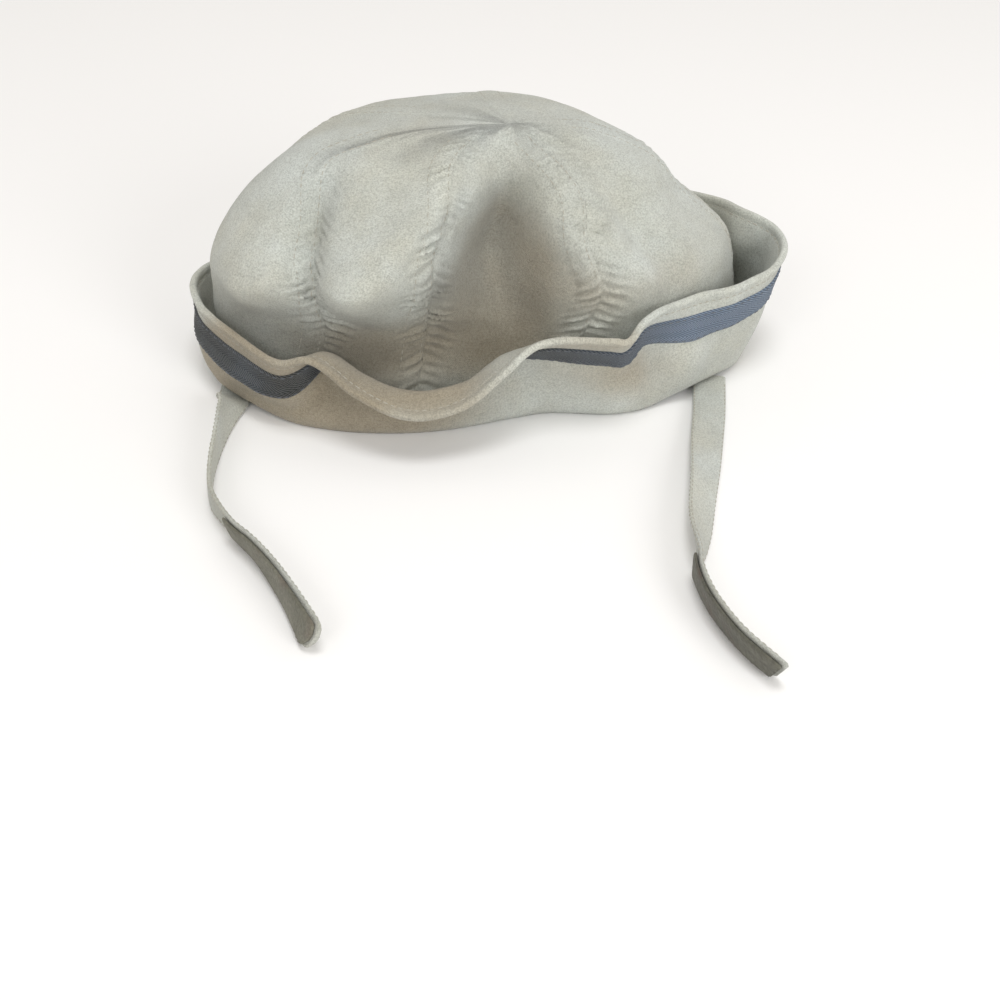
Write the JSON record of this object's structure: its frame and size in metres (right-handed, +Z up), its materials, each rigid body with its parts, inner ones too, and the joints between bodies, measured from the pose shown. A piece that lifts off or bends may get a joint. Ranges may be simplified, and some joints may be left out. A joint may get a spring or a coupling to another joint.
{
  "type": "child's sailor sun hat",
  "caption": "Child's soft sailor sun hat in washed off-white cotton, slumped gored crown, turned-up brim with blue tape, loose chin straps with touch fastener.",
  "frame": {"origin": "On the resting surface, under the middle of the hat's box with its straps laid out in front.", "axes": "+Z up from the resting surface, the front of the hat and the free ends of the straps towards -Y, +X to the right of someone facing the hat."},
  "size_m": [0.2112, 0.2424, 0.0912],
  "materials": {
    "cloth": "washed and worn plain-weave cotton, matt",
    "tape": "faded blue herringbone tape, matt",
    "loop": "soft olive loop pile, matt",
    "hook": "rough olive-grey hook pile, slight sheen"
  },
  "bodies": {
    "root": {"crown_gore_front": "cloth", "crown_gore_right": "cloth", "crown_gore_back_right": "cloth", "crown_gore_back_left": "cloth", "crown_gore_left": "cloth", "crown_gore_front_left": "cloth", "brim": "cloth", "left_strap": "cloth", "right_strap": "cloth", "brim_tape": "tape", "loop_pad": "loop", "hook_pad": "hook"}
  },
  "joints": []
}
